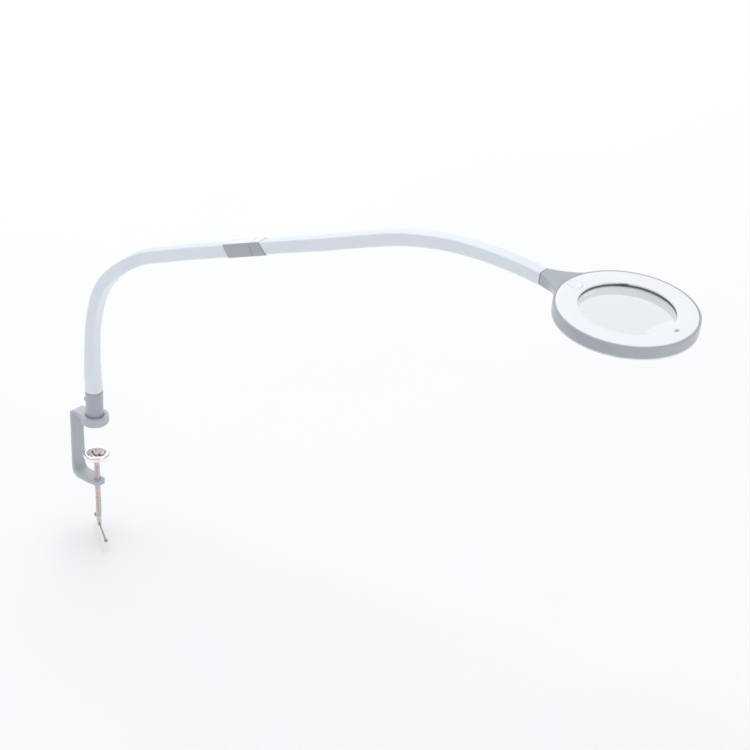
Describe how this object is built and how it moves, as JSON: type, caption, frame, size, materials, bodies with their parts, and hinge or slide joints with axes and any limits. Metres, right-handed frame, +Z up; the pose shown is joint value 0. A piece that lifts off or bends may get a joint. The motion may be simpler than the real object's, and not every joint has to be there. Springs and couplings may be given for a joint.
{
  "type": "clamp-on ring magnifier reading lamp",
  "caption": "Screw-clamp reading lamp: a flexible sleeved arm in two coupled parts carries a lit ring head about a clear magnifying lens.",
  "frame": {"origin": "middle of the upper jaw's rubber face, on the clamp screw's and the arm swivel's shared axis", "axes": "+X along the arm's reach, +Z up, out of the top of the clamp"},
  "size_m": [1.0539, 0.191, 0.6796],
  "materials": {
    "clamp_paint": "satin grey powder coat",
    "jaw_pad": "matte black rubber",
    "nylon": "matte grey nylon",
    "screw_steel": "nickel-plated, warm tint",
    "chrome": "bright polished chrome",
    "grey_plastic": "satin grey, moulded",
    "inlet_plastic": "matte grey socket",
    "small_screws": "plain steel",
    "sleeve": "smooth white silicone",
    "core_steel": "plain steel",
    "white_cover": "glossy white",
    "indicator": "grey window",
    "gasket": "matte dark grey",
    "lens_glass": "clear optical acrylic",
    "board": "white solder mask",
    "diffuser": "frosted white"
  },
  "bodies": {
    "clamp": {"clamp_bracket": "clamp_paint", "upper_jaw_pad": "jaw_pad", "swivel_bush": "nylon", "thrust_washer": "nylon"},
    "pad": {"dished_pad": "chrome"},
    "screw": {"clamp_screw": "screw_steel"},
    "tommy": {"tommy_bar": "screw_steel", "tommy_knob_near": "screw_steel", "tommy_knob_far": "screw_steel"},
    "arm_base": {"arm_ferrule": "grey_plastic", "ferrule_set_screw": "small_screws", "dc_inlet": "inlet_plastic", "lower_sleeve_1": "sleeve", "lower_core_1": "core_steel"},
    "lower_arm_2": {"lower_sleeve_2": "sleeve", "lower_core_2": "core_steel"},
    "lower_arm_3": {"lower_sleeve_3": "sleeve", "lower_core_3": "core_steel"},
    "lower_arm_4": {"lower_sleeve_4": "sleeve", "lower_core_4": "core_steel", "coupling_lower": "grey_plastic", "coupling_cap_1": "white_cover"},
    "upper_arm_1": {"coupling_upper": "grey_plastic", "coupling_cap_2": "white_cover", "coupling_set_screw": "small_screws", "upper_sleeve_1": "sleeve", "upper_core_1": "core_steel"},
    "upper_arm_2": {"upper_sleeve_2": "sleeve", "upper_core_2": "core_steel"},
    "upper_arm_3": {"upper_sleeve_3": "sleeve", "upper_core_3": "core_steel"},
    "upper_arm_4": {"upper_sleeve_4": "sleeve", "upper_core_4": "core_steel"},
    "head": {"upper_sleeve_5": "sleeve", "upper_core_5": "core_steel", "head_housing": "grey_plastic", "head_cover": "white_cover", "indicator_window": "indicator", "lens_gasket": "gasket", "lens": "lens_glass", "inner_reflector": "white_cover", "led_board": "board", "driver_board": "board", "diffuser_ring": "diffuser", "cover_screw_1": "small_screws", "cover_screw_2": "small_screws", "cover_screw_3": "small_screws", "neck_set_screw": "small_screws"},
    "button": {"power_button": "white_cover"}
  },
  "joints": [
    {"name": "pad_travel", "type": "slide", "parent": "clamp", "child": "pad", "axis": [0, 0, 1], "range_m": [-0.03, 0.0485]},
    {"name": "screw_turn", "type": "hinge", "parent": "pad", "child": "screw", "pos_m": [0, 0, -0.1], "axis": [0, 0, 1], "continuous": true},
    {"name": "tommy_slide", "type": "slide", "parent": "screw", "child": "tommy", "axis": [0.788, -0.6157, 0], "range_m": [-0.043, 0.017]},
    {"name": "base_swivel", "type": "hinge", "parent": "clamp", "child": "arm_base", "pos_m": [0, 0, 0.0145], "axis": [0, 0, 1], "range_deg": [-170, 170]},
    {"name": "lower_bend_1", "type": "hinge", "parent": "arm_base", "child": "lower_arm_2", "pos_m": [0.00465, 0, 0.16871], "axis": [0, 1, 0], "range_deg": [-24, 12]},
    {"name": "lower_bend_2", "type": "hinge", "parent": "lower_arm_2", "child": "lower_arm_3", "pos_m": [0.05646, 0, 0.26857], "axis": [0, 1, 0], "range_deg": [-24, 12]},
    {"name": "lower_bend_3", "type": "hinge", "parent": "lower_arm_3", "child": "lower_arm_4", "pos_m": [0.15552, 0, 0.32508], "axis": [0, 1, 0], "range_deg": [-24, 12]},
    {"name": "coupling_twist", "type": "hinge", "parent": "lower_arm_4", "child": "upper_arm_1", "pos_m": [0.30639, 0, 0.3827], "axis": [0.9348, 0, 0.3551], "range_deg": [-90, 90]},
    {"name": "upper_bend_1", "type": "hinge", "parent": "upper_arm_1", "child": "upper_arm_2", "pos_m": [0.4165, 0, 0.42371], "axis": [0, 1, 0], "range_deg": [-15, 24]},
    {"name": "upper_bend_2", "type": "hinge", "parent": "upper_arm_2", "child": "upper_arm_3", "pos_m": [0.50521, 0, 0.45769], "axis": [0, 1, 0], "range_deg": [-15, 24]},
    {"name": "upper_bend_3", "type": "hinge", "parent": "upper_arm_3", "child": "upper_arm_4", "pos_m": [0.59574, 0, 0.48608], "axis": [0, 1, 0], "range_deg": [-15, 24]},
    {"name": "upper_bend_4", "type": "hinge", "parent": "upper_arm_4", "child": "head", "pos_m": [0.68993, 0, 0.49712], "axis": [0, 1, 0], "range_deg": [-15, 24]},
    {"name": "button_press", "type": "slide", "parent": "head", "child": "button", "axis": [-0.118, -0.0386, -0.9923], "range_m": [0, 0.0005], "stiffness_N_per_m": 600, "springref_m": -0.0005}
  ],
  "couplings": [
    {"joint": "screw_turn", "follows": "pad_travel", "rad_per_m": 5026.5},
    {"joint": "lower_bend_2", "follows": "lower_bend_1", "ratio": 1},
    {"joint": "lower_bend_3", "follows": "lower_bend_1", "ratio": 1},
    {"joint": "upper_bend_2", "follows": "upper_bend_1", "ratio": 1},
    {"joint": "upper_bend_3", "follows": "upper_bend_1", "ratio": 1},
    {"joint": "upper_bend_4", "follows": "upper_bend_1", "ratio": 1}
  ]
}
